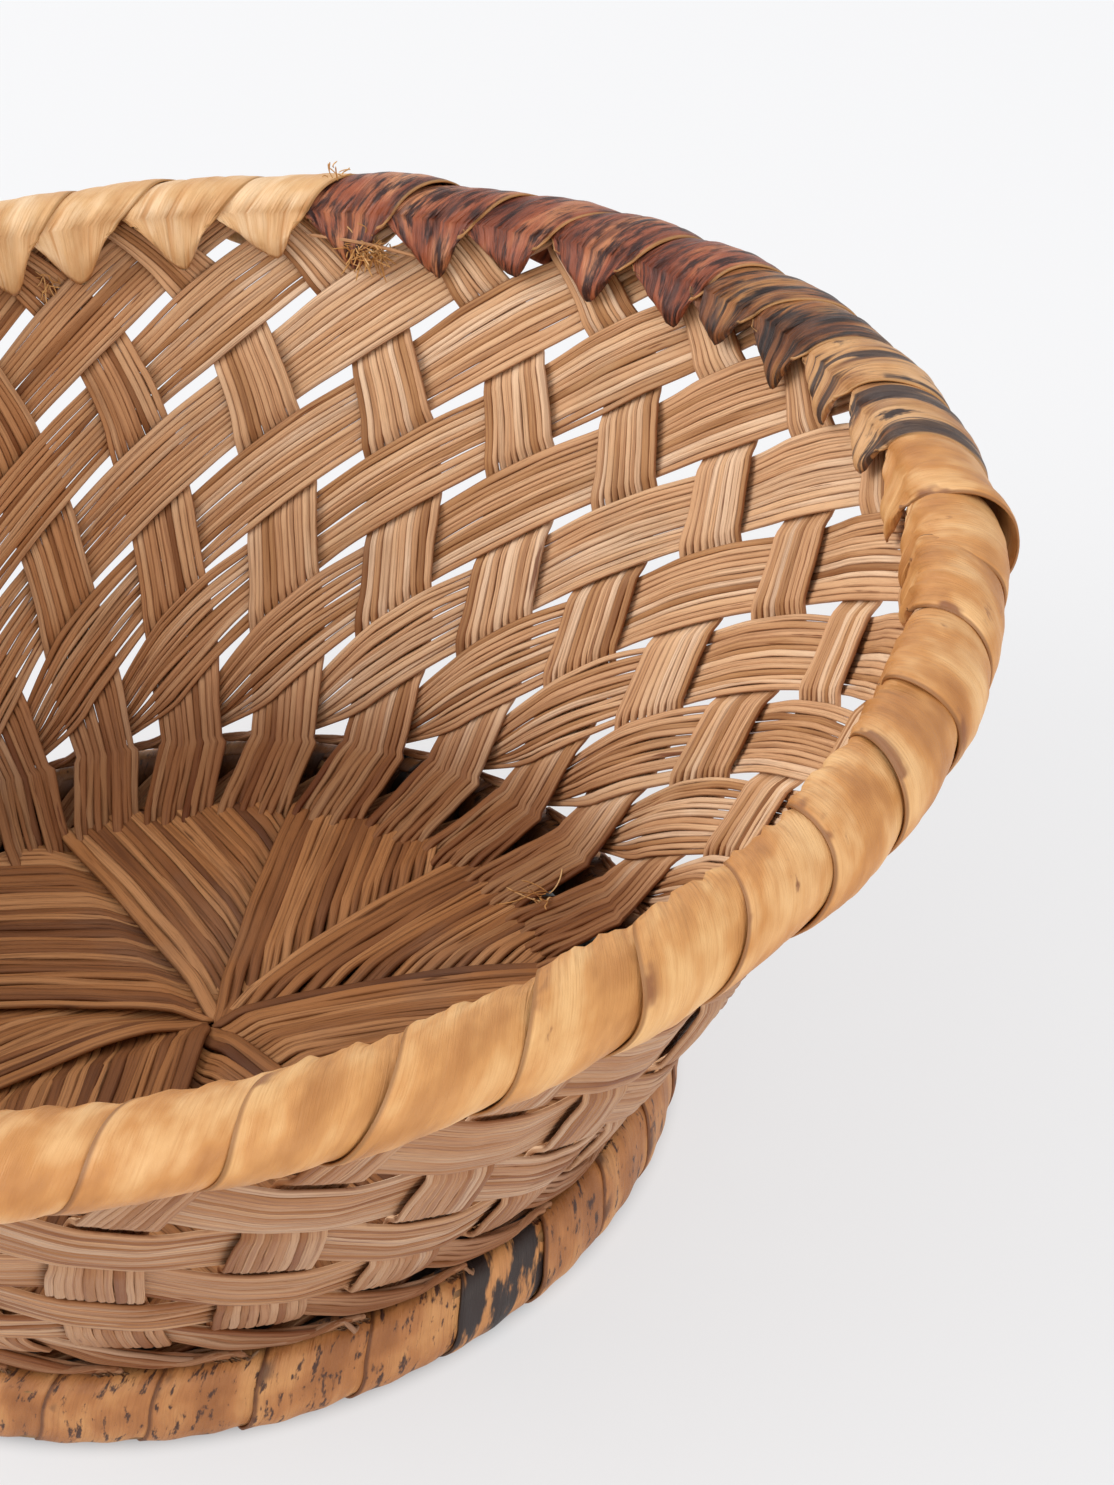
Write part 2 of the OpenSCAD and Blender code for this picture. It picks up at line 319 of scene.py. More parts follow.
class Graph:
    """Short names for the node kinds that the materials use."""

    def __init__(self, tree):
        self.tree = tree

    def link(self, value, socket):
        if isinstance(value, (int, float, tuple)):
            socket.default_value = value
        else:
            self.tree.links.new(value, socket)

    def attribute(self, name):
        node = self.tree.nodes.new("ShaderNodeAttribute")
        node.attribute_name = name
        return self.parts(node.outputs["Vector"])

    def place(self):
        node = self.tree.nodes.new("ShaderNodeTexCoord")
        return node.outputs["Object"]

    def parts(self, vector):
        node = self.tree.nodes.new("ShaderNodeSeparateXYZ")
        self.link(vector, node.inputs[0])
        return node.outputs

    def vector(self, x, y, z):
        node = self.tree.nodes.new("ShaderNodeCombineXYZ")
        for value, socket in zip((x, y, z), node.inputs):
            self.link(value, socket)
        return node.outputs[0]

    def math(self, kind, a, b=0.0, clamp=False):
        node = self.tree.nodes.new("ShaderNodeMath")
        node.operation = kind
        node.use_clamp = clamp
        self.link(a, node.inputs[0])
        self.link(b, node.inputs[1])
        return node.outputs[0]

    def times(self, a, b):
        return self.math("MULTIPLY", a, b)

    def rest(self, share):
        """What a share leaves of 1."""
        return self.math("SUBTRACT", 1.0, share)

    def radius(self, place):
        """Distance from the basket's upright axis."""
        east, north, _ = self.parts(place)
        squares = self.math("ADD", self.times(east, east), self.times(north, north))
        return self.math("SQRT", squares)

    def noise(self, vector, scale=1.0, detail=3.0, rough=0.55):
        node = self.tree.nodes.new("ShaderNodeTexNoise")
        self.link(vector, node.inputs["Vector"])
        node.inputs["Scale"].default_value = scale
        node.inputs["Detail"].default_value = detail
        node.inputs["Roughness"].default_value = rough
        return node.outputs[0]

    def step(self, value, low, high):
        """0 below low and 1 above high, smoothly between."""
        node = self.tree.nodes.new("ShaderNodeMapRange")
        node.interpolation_type = "SMOOTHSTEP"
        self.link(value, node.inputs["Value"])
        node.inputs["From Min"].default_value = low
        node.inputs["From Max"].default_value = high
        return node.outputs[0]

    def ramp(self, value, stops):
        node = self.tree.nodes.new("ShaderNodeValToRGB")
        self.link(value, node.inputs[0])
        band = node.color_ramp
        while len(band.elements) < len(stops):
            band.elements.new(1.0)
        for element, (at, code) in zip(band.elements, stops):
            element.position = at
            element.color = (*srgb(code), 1)
        return node.outputs[0]

    def mix(self, share, a, b, kind="MIX"):
        node = self.tree.nodes.new("ShaderNodeMix")
        node.data_type = "RGBA"
        node.blend_type = kind
        self.link(share, node.inputs["Factor"])
        for value, key in ((a, "A"), (b, "B")):
            socket = [s for s in node.inputs if s.name == key and s.type == "RGBA"][0]
            if isinstance(value, tuple):
                socket.default_value = (*value[:3], 1)
            else:
                self.tree.links.new(value, socket)
        return [s for s in node.outputs if s.type == "RGBA"][0]

    def tint(self, colour, where, share, other, kind="MIX"):
        """A colour with a share of another one laid over it where the mask says."""
        return self.mix(self.times(where, share), colour, other, kind)

    def bump(self, height, strength, distance):
        node = self.tree.nodes.new("ShaderNodeBump")
        node.inputs["Strength"].default_value = strength
        node.inputs["Distance"].default_value = distance
        self.link(height, node.inputs["Height"])
        return node.outputs[0]


def srgb(code):
    """A colour written as #rrggbb, in linear light."""
    values = [int(code[i : i + 2], 16) / 255 for i in (1, 3, 5)]
    return tuple(v / 12.92 if v < 0.04045 else ((v + 0.055) / 1.055) ** 2.4 for v in values)


def cane_material(name, tones, dark, grey, low_shade_share, painted_shade_share):
    """Split cane: a tone for each strand, slow changes along it, greyish patches, fine fibres, a
    few brown marks, streaks, and painted shade on each strand's sides and underside. Painted
    shade darkens it low down, and by the shade share inside the base edge and towards -X on the
    back half."""
    material, tree, shader = new_material(name)
    g = Graph(tree)
    dark, grey = srgb(dark), srgb(grey)
    belt_shade, west_wall_shade = (0.58, 0.45, 0.32), (0.74, 0.6, 0.47)
    along, tone, number = g.attribute("cane")
    cos, sin, _ = g.attribute("section")

    def grain(per_metre, around, other, **detail):
        """Noise with that many changes per metre along the strand."""
        return g.noise(g.vector(g.times(along, per_metre), around, other), **detail)

    slow = grain(28, number, 0.0, detail=2.0)
    tone = g.math("ADD", tone, g.times(g.math("SUBTRACT", slow, 0.5), 0.75))
    colour = g.ramp(tone, tones)
    where = g.place()
    patch = g.noise(where, scale=34)
    colour = g.tint(colour, g.step(patch, 0.54, 0.72), 0.28, grey)
    fibre = grain(90, g.times(cos, 6), number, scale=1.6, detail=4.0, rough=0.7)
    colour = g.tint(colour, g.step(fibre, 0.5, 0.72), 0.45, dark)
    mark = grain(55, cos, g.times(number, 3))
    colour = g.tint(colour, g.step(mark, 0.66, 0.74), 0.75, dark)
    streak = grain(24, g.times(cos, 2.6), number, detail=2.0)
    colour = g.tint(colour, g.step(streak, 0.5, 0.62), 0.34, dark)
    # Painted shade: each strand's sides and underside are darkened towards the dark colour.
    side = g.step(g.math("ABSOLUTE", cos), 0.5, 0.98)
    under = g.step(g.times(sin, -1.0), 0.1, 0.9)
    colour = g.tint(colour, g.math("MAXIMUM", side, under), 0.5, dark)
    east, north, height = g.parts(where)
    # Painted shade: darker towards the bottom, where the base lies in shade.
    low = g.rest(g.step(height, 14 * MM, 42 * MM))
    colour = g.tint(colour, low, low_shade_share, dark)
    # Painted shade: darker and browner inside the base edge, in the recess under the wall.
    belt = g.rest(g.step(g.radius(where), 79 * MM, 94 * MM))
    colour = g.tint(colour, belt, painted_shade_share, belt_shade, "MULTIPLY")
    # Painted shade: darker towards -X on the back half of the wall, the side turned away from
    # the window light.
    west = g.step(g.times(east, -1.0), -55 * MM, 10 * MM)
    back = g.math("SUBTRACT", g.step(north, -30 * MM, 30 * MM), belt)
    west_shade = g.math("MULTIPLY", g.times(west, painted_shade_share), back, clamp=True)
    colour = g.mix(west_shade, colour, west_wall_shade, "MULTIPLY")
    g.link(colour, shader.inputs["Base Color"])
    g.link(g.math("ADD", g.times(fibre, 0.3), 0.38), shader.inputs["Roughness"])
    shader.inputs["Specular IOR Level"].default_value = 0.22
    g.link(g.bump(fibre, 0.35, 0.4 * MM), shader.inputs["Normal"])
    return material


WALL_TONES = [
    (0.0, "#93643f"),
    (0.2, "#bb8a5d"),
    (0.45, "#d6a67c"),
    (0.7, "#e4b98f"),
    (0.88, "#efcdab"),
    (1.0, "#d9b08a"),
]
FLOOR_TONES = [(0.0, "#5e3720"), (0.3, "#8f5c36"), (0.6, "#b17848"), (1.0, "#ce9766")]
FIBRE_TONES = [(0.0, "#be8649"), (0.5, "#d9a566"), (1.0, "#edc993")]
cane_wall = cane_material("cane_wall", WALL_TONES, "#6b3110", "#b99c7c", 0.36, 1.0)
cane_floor = cane_material("cane_floor", FLOOR_TONES, "#43200d", "#90705a", 0.1, 0.0)
fibre_pale = cane_material("fibre_pale", FIBRE_TONES, "#ad7640", "#d0a878", 0.0, 0.0)


def bark_material(
    name,
    base,
    mark,
    fibre,
    edge,
    mark_range,
    stretch,
    rough,
    bump,
    middle=0.5,
    stripes=0,
    creased=True,
):
    """A bark strip: base tones, fibres along the strip, darker marks, cross stripes, creases
    near its start with painted shade in their hollows, stains near one edge and an edge colour,
    all darkened by painted shade on the foot ring's inner face. Marks lie where their noise
    passes mark_range, and stretch is how many changes it has across the strip and per metre
    along it. The bark attribute holds the place across, the distance along and the turn's seed."""
    material, tree, shader = new_material(name)
    g = Graph(tree)
    mark, fibre, edge = srgb(mark), srgb(fibre), srgb(edge)
    across, along, seed = g.attribute("bark")
    far = g.times(seed, 17)

    def grain(over, per_metre, **detail):
        """Noise with that many changes over the strip's width and per metre along it."""
        return g.noise(g.vector(g.times(across, over), g.times(along, per_metre), far), **detail)

    colour = g.ramp(g.step(grain(2.2, 60), 0.28, 0.72), list(zip((0.0, middle, 1.0), base)))
    fine = grain(60, 90, detail=5.0, rough=0.65)
    colour = g.tint(colour, g.step(fine, 0.45, 0.7), 0.35, fibre)
    blot = grain(*stretch, detail=5.0, rough=0.62)
    colour = g.mix(g.step(blot, *mark_range), colour, mark)
    relief = g.math("ADD", g.times(fine, 0.6), g.times(blot, 0.8))
    if stripes:
        colour = g.tint(colour, g.step(grain(7.5, 26), 0.5, 0.58), stripes, mark)
    if creased:
        fold = grain(10, 38, detail=2.0)
        start = g.rest(g.step(along, 9 * MM, 26 * MM))
        # Painted shade: the crease hollows are darkened towards the fibre colour.
        crease = g.times(g.rest(g.step(fold, 0.34, 0.46)), start)
        colour = g.tint(colour, crease, 0.8, fibre)
        relief = g.math("ADD", relief, g.times(g.times(fold, start), 4.0))
    stain = g.times(g.step(grain(2, 75), 0.55, 0.62), g.step(across, 0.84, 0.95))
    colour = g.tint(colour, stain, 0.8, mark)
    first_edge = g.rest(g.step(across, 0.01, 0.03))
    edges = g.math("MAXIMUM", g.step(across, 0.955, 0.985), first_edge)
    colour = g.tint(colour, edges, 0.85, edge)
    # Painted shade: the foot ring's inner face is darkened.
    inner = g.rest(g.step(g.radius(g.place()), 84.5 * MM, 88.5 * MM))
    colour = g.mix(inner, colour, (0.3, 0.26, 0.22), "MULTIPLY")
    g.link(colour, shader.inputs["Base Color"])
    g.link(g.math("ADD", g.times(fine, 0.25), rough), shader.inputs["Roughness"])
    shader.inputs["Specular IOR Level"].default_value = 0.45
    g.link(g.bump(relief, bump, 0.7 * MM), shader.inputs["Normal"])
    return material


BARKS = {
    "pale": bark_material(
        "bark_pale",
        base=("#d09a63", "#e2b581", "#f0cea4"),
        mark="#c08a55",
        fibre="#c98f55",
        edge="#b98a55",
        mark_range=(0.62, 0.8),
        stretch=(8, 120),
        rough=0.36,
        bump=0.6,
    ),
    "dark": bark_material(
        "bark_dark",
        base=("#723625", "#a75b3d", "#d59064"),
        mark="#371a17",
        fibre="#552b20",
        edge="#c28f58",
        mark_range=(0.44, 0.62),
        stretch=(12, 150),
        rough=0.26,
        bump=0.9,
    ),
    "mottled": bark_material(
        "bark_mottled",
        base=("#6b3b24", "#a3673c", "#cd9459"),
        mark="#2c1e1b",
        fibre="#573120",
        edge="#c79660",
        mark_range=(0.42, 0.6),
        stretch=(13, 95),
        rough=0.28,
        bump=0.9,
        stripes=0.4,
    ),
    "striped": bark_material(
        "bark_striped",
        base=("#b37c4c", "#d3a06c", "#e3b483"),
        mark="#41322e",
        fibre="#8a5a38",
        edge="#c79660",
        mark_range=(0.56, 0.66),
        stretch=(9, 90),
        rough=0.34,
        bump=0.7,
        stripes=0.95,
    ),
    "honey": bark_material(
        "bark_honey",
        base=("#ac7038", "#c98d50", "#e6b880"),
        mark="#7a4628",
        fibre="#be8147",
        edge="#8f5f36",
        mark_range=(0.66, 0.78),
        stretch=(5, 90),
        rough=0.34,
        bump=0.5,
        middle=0.45,
    ),
    "straw": bark_material(
        "bark_straw",
        base=("#b0763e", "#cf9558", "#e4b67c"),
        mark="#7a4628",
        fibre="#be8147",
        edge="#9a6a3c",
        mark_range=(0.66, 0.78),
        stretch=(5, 90),
        rough=0.36,
        bump=0.6,
    ),
    "tan": bark_material(
        "bark_tan",
        base=("#91592b", "#af7340", "#cb935b"),
        mark="#47291b",
        fibre="#8d5830",
        edge="#6b3f22",
        mark_range=(0.555, 0.65),
        stretch=(14, 260),
        rough=0.36,
        bump=0.7,
        creased=False,
    ),
    "black": bark_material(
        "bark_black",
        base=("#8f5a30", "#b37844", "#cc9158"),
        mark="#2c201d",
        fibre="#5a3522",
        edge="#2c201d",
        mark_range=(0.5, 0.57),
        stretch=(3.4, 42),
        rough=0.36,
        bump=0.6,
        creased=False,
    ),
}


# ---- Stakes ----

STAKE_STRANDS = 10
STAKE_GROUPS = 3  # groups that the strands part into under the floor
STAKE_COVER = 0.7  # share of the pitch that a stake covers
FOOT_SPREAD = 1.08  # how much wider a stake is under the floor than at the base edge
FOOT_STATIONS, BODY_STATIONS = 34, 96
# A stake's profile from under the floor out to the base edge
SPOKE_R = np.array([0, 58, 64, 66.5, 69, 76, 83.3]) * MM
SPOKE_Z = np.array([9.2, 9.2, 9.9, 12.0, 13.4, 15.3, 18.0]) * MM


def stake_half(i, radius):
    """Half the width of stake i where the wall has that radius: its share of the pitch, up to a
    widest that is larger about azimuth 15."""
    widest = 7.0 * MM * (1 + 0.17 * near(STAKE_PHASE + PITCH * i, 15, 50))
    return np.minimum(STAKE_COVER / 2 * np.radians(PITCH) * radius, widest)


def stake_foot(i, centres, r):
    """Paths, normals and band widths of a stake's strands under the floor: out along its spoke,
    up between the arms' tips in three groups, then sharply up to the base edge."""
    group = np.arange(STAKE_STRANDS) * STAKE_GROUPS // STAKE_STRANDS
    middle = np.array([centres[group == g].mean() for g in range(STAKE_GROUPS)])[group]
    place = (centres - middle)[:, None]
    start = FLOOR_R * 0.46 + 16 * MM * np.abs(centres) + r.uniform(0, 5 * MM, STAKE_STRANDS)
    radius = start[:, None] + (EDGE_R - start[:, None]) * np.linspace(0, 1, FOOT_STATIONS)[None]
    inward = EDGE_R - radius
    early = (r.uniform(-1.2, 1.2, STAKE_GROUPS)[group][:, None] - 7.0 * place) * MM
    early = early * smooth(inward / (12 * MM))
    height = np.interp(radius - early, SPOKE_R, SPOKE_Z)
    height = height + 0.25 * MM * wander(STAKE_STRANDS, radius, 30 * MM, STAKE_SEED + i + 7)
    twist = 3.2 * np.clip(inward / (20 * MM), 0, 2)
    room = 0.46 * np.radians(PITCH) * radius
    half = np.minimum(FOOT_SPREAD * stake_half(i, EDGE_R), room)
    spot = centres[:, None] - 0.14 * place * smooth(inward / (9 * MM))
    q = spot * half / radius / np.radians(PITCH)
    lift = AMP * smooth((radius - 68 * MM) / (14 * MM))
    path = turned(radius - 0.8 * lift, height + 0.6 * lift, azimuth_of(i + q, 0) + twist)
    up = turned(np.full_like(radius, -0.35), np.ones_like(radius), azimuth_of(i, 0))
    width = 0.5 + 0.6 * smooth((radius - early - 63 * MM) / (6 * MM))
    width = np.where(radius < 60 * MM, 0.9, width) * FOOT_SPREAD * stake_half(i, EDGE_R)
    return path, up, width


def stake_body(i, centres, r):
    """The same up the wall, in over even rows and out at odd ones. Each strand wanders a little
    and a few stray further."""
    m = np.linspace(0.03, TOP_ROW, BODY_STATIONS)[None]
    m = np.broadcast_to(m, (STAKE_STRANDS, BODY_STATIONS))
    seed = STAKE_SEED + i
    wr, wz = wall(m)
    half = stake_half(i, wr) * (1 - 0.03 * wave(m, 0.3))
    stray = np.where(r.uniform(size=STAKE_STRANDS) < 0.08, 3.0, 1.0)[:, None]
    aside = 0.09 * MM * stray * wander(STAKE_STRANDS, m, 2.6, seed)
    q = (centres[:, None] * half + aside) / wr / np.radians(PITCH)
    nr, nz = normal_of(wall, m)
    crown = 0.34 * MM * (1 - centres[:, None] ** 2)
    off = AMP * wave(m + q, 0.36)
    off = off + crown * np.sign(off) * wave(m + q, 0.1) ** 2
    off = off + 0.06 * MM * wander(STAKE_STRANDS, m, 0.9, seed + 1)
    path = turned(wr + nr * off, wz + nz * off, azimuth_of(i + q, m))
    up = turned(nr, nz, azimuth_of(i + q, m))
    return path, up, np.broadcast_to(band_scale(path, centres), m.shape)


def stake_paths(i):
    """Paths, normals and half widths of one stake's strands, from under the floor to the rim."""
    r = np.random.default_rng(STAKE_SEED + i)
    centres, widths = lay_out(STAKE_STRANDS, r)
    foot = stake_foot(i, centres, r)
    body = stake_body(i, centres, r)
    path, up, band = (np.concatenate(pair, axis=1) for pair in zip(foot, body))
    return path, up, widths[:, None] / 2 * band * SNUG


def make_stakes():
    for i in range(BUNDLES):
        path, up, width = stake_paths(i)
        tone = rng.beta(1.5, 1.5, STAKE_STRANDS) + rng.normal(0, 0.06)
        name = "stake_%02d" % (i + 1)
        mesh = strand_mesh(name + "_strands", path, up, width, 0.46 * MM, np.clip(tone, 0, 1))
        add_piece(name + "_strands", mesh, cane_wall, [name])


# ---- Weavers ----

WEAVER_STRANDS = 12
WEAVER_STATIONS = 150
BUNCHED, SPREAD_ROW = 0.26, 0.85  # share of its width at the foot ring, and the row of its all
LOOSE_ROW = 1.5  # the row about which the strands wander most


def weaver_paths(j):
    """Paths, normals and half widths of one weaver's strands, from the foot ring up round the
    wall. The strands bunch in two layers on the foot ring, then spread and wander in the first
    rows, and each passes over one stake and under the next."""
    n = WEAVER_STRANDS
    seed = WEAVER_SEED + j
    r = np.random.default_rng(seed)
    centres, widths = lay_out(n, r)
    place = centres[:, None]
    end = TOP_ROW - place * 0.42
    t = TAIL_ROW + (end - TAIL_ROW) * np.linspace(0, 1, WEAVER_STATIONS)[None]
    past_foot = t - LAST_ROW
    spread = BUNCHED + (1 - BUNCHED) * np.clip(past_foot / (SPREAD_ROW - LAST_ROW), 0, 1)
    spread = spread + 0.25 * np.clip(-past_foot / (LAST_ROW - TAIL_ROW), 0, 1)
    cover = 0.43 + 0.05 * np.exp(-(((t - 1.2) / 1.1) ** 2))
    half = cover * spread * (1 - 0.03 * wave(t, 0.2))
    shear = np.clip(past_foot / (0.64 - LAST_ROW), 0, 1)
    stray = np.where(r.uniform(size=n) < 0.1, 3.0, 1.0)[:, None]
    loose = np.exp(-(((t - LOOSE_ROW) / 0.95) ** 2))
    x = place * half + (0.0055 * stray + 0.012 * loose) * wander(n, t, 2.4, seed)
    m = t + shear * x
    s = j - t + (1 - shear) * x
    pr, pz = foot_wall(m)
    nr, nz = normal_of(foot_wall, m)
    crown = 0.38 * MM * (1 - place**2)
    side = wave(np.maximum(t, 0), 0.13)
    off = -AMP * side - crown * side * np.abs(side) + 0.06 * MM * wander(n, t, 0.9, seed + 1)
    layer = np.where(np.arange(n) % 2 == 0, 1, -1)[:, None]
    apart = (1 - spread) * smooth((t + 0.9) / 0.6) + 0.14 * loose
    off = off + apart * MM * layer
    azimuth = azimuth_of(s, m)
    path = turned(pr + nr * off, pz + nz * off, azimuth)
    up = turned(nr, nz, azimuth)
    scale = band_scale(path, centres)
    mid_wall = slice(70, 120)
    usual = np.median(scale[mid_wall])
    widest = usual * (1 + 0.35 * smooth((t - 3.6) / 1.6))
    width = widths[:, None] / 2 * np.clip(scale, 0.75 * usual, widest) * SNUG
    return path, up, width


def make_weavers():
    for j in range(BUNDLES):
        path, up, width = weaver_paths(j)
        tone = rng.beta(1.5, 1.4, WEAVER_STRANDS) + rng.normal(0, 0.07)
        name = "weaver_%02d_strands" % (j + 1)
        node = "weaver_pair_%02d" % (j % (BUNDLES // 2) + 1)
        mesh = strand_mesh(name, path, up, width, 0.44 * MM, np.clip(tone, 0, 1))
        add_piece(name, mesh, cane_wall, [node])


# ---- Floor: eight arms, each passing under the next one clockwise ----

# Each arm's direction at the hub and how far it turns on the way out, in degrees
ARMS = [(152, 24), (105, 8), (71, -7), (40, -20), (7, -26), (-60, -4), (-108, -8), (-176, 30)]
ARM_LENGTH = 76 * MM
ARM_STRANDS = 40  # at most, because an arm ends where none of a strand would show
ARM_POINTS, ARM_STATIONS = 240, 44  # points to cut a strand from, and stations on the strand


def arm_edge(arm, s):
    """The plan of an arm's leading edge at distance s from the hub, as points and headings:
    an arc whose heading changes evenly along it."""
    start, bend = (math.radians(v) for v in arm)
    heading = start + bend * s / ARM_LENGTH
    steps = 24
    fine = np.linspace(0, 1, steps + 1)
    angles = start + bend * (s[..., None] * fine) / ARM_LENGTH
    step = s[..., None] / steps
    x = (np.cos(angles) * step).sum(-1) - (np.cos(start) + np.cos(heading)) * step[..., 0] / 2
    y = (np.sin(angles) * step).sum(-1) - (np.sin(start) + np.sin(heading)) * step[..., 0] / 2
    return np.stack([x, y], -1) + HUB, heading


def past_edge(arm, line):
    """How far the points of a line lie past an arm's leading edge, and by what angle from it."""
    from_hub = line - HUB
    reach = np.linalg.norm(from_hub, axis=1)
    direction = np.arctan2(from_hub[:, 1], from_hub[:, 0])
    edge = np.radians(arm[0] + arm[1] * reach / ARM_LENGTH / 2)
    angle = (direction - edge + np.pi) % (2 * np.pi) - np.pi
    clear = reach * np.sin(np.clip(angle, -np.pi / 2, np.pi / 2))
    return np.where(np.abs(angle) > np.pi / 2, reach * np.sign(angle), clear), angle


def make_arm(index):
    """One arm: strands side by side from its leading edge, each starting under the next arm's
    edge, level on top and dipping under that edge and at their tips."""
    arm, after = ARMS[index], ARMS[(index + 1) % len(ARMS)]
    r = np.random.default_rng(ARM_SEED + index)
    widths = r.uniform(1.1, 2.3, ARM_STRANDS) * MM
    widths[0] *= 1.3
    tips = FLOOR_R + np.repeat(r.uniform(1.5, 5.5, ARM_STRANDS), 2)[:ARM_STRANDS] * MM
    offset = np.cumsum(widths) - widths / 2
    edge, heading = arm_edge(arm, np.linspace(0, ARM_LENGTH * 1.1, ARM_POINTS))
    clockwise = np.stack([np.sin(heading), -np.cos(heading)], -1)
    points = np.arange(ARM_POINTS)
    length = np.linspace(0, ARM_LENGTH * 1.1, ARM_POINTS)[None]
    path_list, width_list = [], []
    for k in range(ARM_STRANDS):
        seed = ARM_SEED + 50 + ARM_STRANDS * index + k
        sway = 0.22 * MM * wander(1, length, 70 * MM, seed)[0]
        line = edge + clockwise * (offset[k] + sway)[:, None]
        clear, angle = past_edge(after, line)
        outer = tips[k] + r.uniform(-0.5, 0.5) * MM
        inside = np.linalg.norm(line, axis=1) < outer + 5 * MM
        shown = (clear > -6 * MM) & inside & (angle < np.pi)
        if shown.sum() < ARM_POINTS / 10:
            continue
        first, last = np.flatnonzero(shown)[[0, -1]]
        at = np.linspace(first, last, ARM_STATIONS)
        x = np.interp(at, points, line[:, 0])
        y = np.interp(at, points, line[:, 1])
        off = np.interp(at, points, clear)
        z = FLOOR_Z + 0.35 * MM - 2.0 * MM * (1 - smooth(off / (5.5 * MM)))
        z = z + 0.3 * MM * wander(1, at[None] / ARM_POINTS, 0.8, seed + 40)[0]
        z = z - 2.8 * MM * smooth((np.hypot(x, y) - outer) / (5 * MM))
        path_list.append(np.stack([x, y, z], -1))
        width_list.append(widths[k] * 0.6)
    path = np.array(path_list)
    up = np.broadcast_to(np.array([0.0, 0.0, 1.0]), path.shape)
    width = np.array(width_list)[:, None]
    tone = np.clip(r.beta(2.6, 2.8, len(path)), 0, 1)
    name = "base_arm_%d" % (index + 1)
    mesh = strand_mesh(name + "_strands", path, up, width, 0.52 * MM, tone)
    add_piece(name + "_strands", mesh, cane_floor, [name])


# Layers under the floor: heading in degrees, how far out they reach and their height
UNDERLAYS = [(110, 16 * MM, 9.1 * MM), (20, 16 * MM, 8.0 * MM), (65, 57 * MM, 6.9 * MM)]
UNDERLAY_GAP = 2.1 * MM


def make_underlay():
    """Strands that run straight under the floor and close it from below: two short layers
    crossed under the hub and one right across, each strand about as long as its chord."""
    for index, (turn, reach, level) in enumerate(UNDERLAYS):
        a = math.radians(turn)
        ahead = np.array([math.cos(a), math.sin(a), 0])
        side = np.array([-ahead[1], ahead[0], 0])
        count = round(2 * reach / UNDERLAY_GAP)
        across = (np.arange(count) - (count - 1) / 2) * UNDERLAY_GAP
        half = np.sqrt(np.maximum(reach**2 - across**2, (0.4 * reach) ** 2))
        t = np.linspace(-1, 1, 24)[None] * half[:, None]
        place = across[:, None] + 0.25 * MM * wander(count, t, 60 * MM, 40 + index)
        height = level + 0.2 * MM * wander(count, t, 45 * MM, 50 + index)
        at_hub = reach < FLOOR_R / 2
        centre = np.array([*(HUB if at_hub else (0, 0)), 0])
        path = centre + t[..., None] * ahead + place[..., None] * side
        path[..., 2] = height
        up = np.broadcast_to(np.array([0.0, 0.0, 1.0]), path.shape)
        tone = rng.uniform(0, 0.7, count)
        name = "floor_underlay_%d" % (index + 1)
        mesh = strand_mesh(name, path, up, 1.15 * MM, 0.45 * MM, tone)
        add_piece(name, mesh, cane_floor)


# ---- Bark bindings ----

RIM_TURNS = 48
RIM_STEP = 360 / RIM_TURNS
RIM_PHASE = 3  # azimuth at which the first turn starts
RIM_HALF = (7.1 * MM, 5.2 * MM)  # half width and half height of what the rim turns go round
CURLED_TURN = RIM_TURNS - 2  # the turn whose right edge curls up
RIM_SEED, FOOT_SEED = 77, 78
ACROSS = 16  # points across a strip


def strip_rings(rows, thickness):
    """Closed sections of a strip from rows (turns, stations, across, 3): the top from right to
    left, then the underside back, thickness below it."""
    ahead = np.gradient(rows, axis=1)
    right = np.gradient(rows, axis=2)
    up = unit(np.cross(right, ahead))
    below = rows - up * thickness
    return np.concatenate([rows[:, :, ::-1], below], axis=2)


def bark_rings(across, along, seed):
    """The bark attribute for strip_rings: place across, distance along and the turn's seed."""
    turns, stations = along.shape[:2]
    u = np.broadcast_to(across, (turns, stations, len(across)))
    v = np.broadcast_to(along, u.shape)
    w = np.broadcast_to(seed[:, None, None], u.shape)
    top = np.stack([u, v, w], -1)
    return np.concatenate([top[:, :, ::-1], top], axis=2)


def distance_along(rows):
    """Distance along each turn at its stations, as a mean over its width."""
    steps = np.linalg.norm(np.gradient(rows, axis=1), axis=-1).mean(-1)
    return np.cumsum(steps, axis=1)[:, :, None]


def sine(turns):
    """The sine of a number of whole turns."""
    return np.sin(2 * np.pi * turns)


def rim_girth(azimuth):
    """How slim the rim is at an azimuth, as a share of its full section, and how far its middle
    moves out there."""
    slim = 1 - 0.25 * near(azimuth, 30, 50) - 0.13 * near(azimuth, 98, 40)
    return slim, 0.9 * MM * near(azimuth, 25, 50)


def rim_swell(u, roll, flap, chance):
    """How far a rim turn stands off what it goes round, in millimetres: it swells across its
    width u and rises to its right edge, with a dent, and with creases that are deepest at its
    start. The phases and some of the sizes are the turn's random numbers."""
    raised = 1.0 + 0.4 * chance[1] + 0.3 * sine(1.1 * roll + chance[11])
    swell = (0.95 + 0.3 * chance[5]) * np.sin(np.pi * u) ** 0.7 + raised * u**1.7
    pull = 1 - 0.25 * np.exp(-((roll / 0.12) ** 2)) - 0.25 * np.exp(-(((1 - roll) / 0.1) ** 2))
    crease = sine(3.2 * u + 1.5 * roll + chance[2])
    crease = crease + 0.8 * sine(5.9 * u - 1.3 * roll + 2 * chance[3])
    crease = crease + 0.5 * sine(9.1 * u + 0.7 * roll + 3 * chance[8])
    crumple = (0.25 + 1.2 * np.exp(-((roll / 0.25) ** 2))) * np.sin(np.pi * u) ** 0.6
    dent = sine(1.3 * roll + chance[9]) * np.sin(np.pi * u)
    return 0.12 + swell * pull + 0.28 * crease * crumple * (1 - 0.5 * flap) + 0.4 * dent


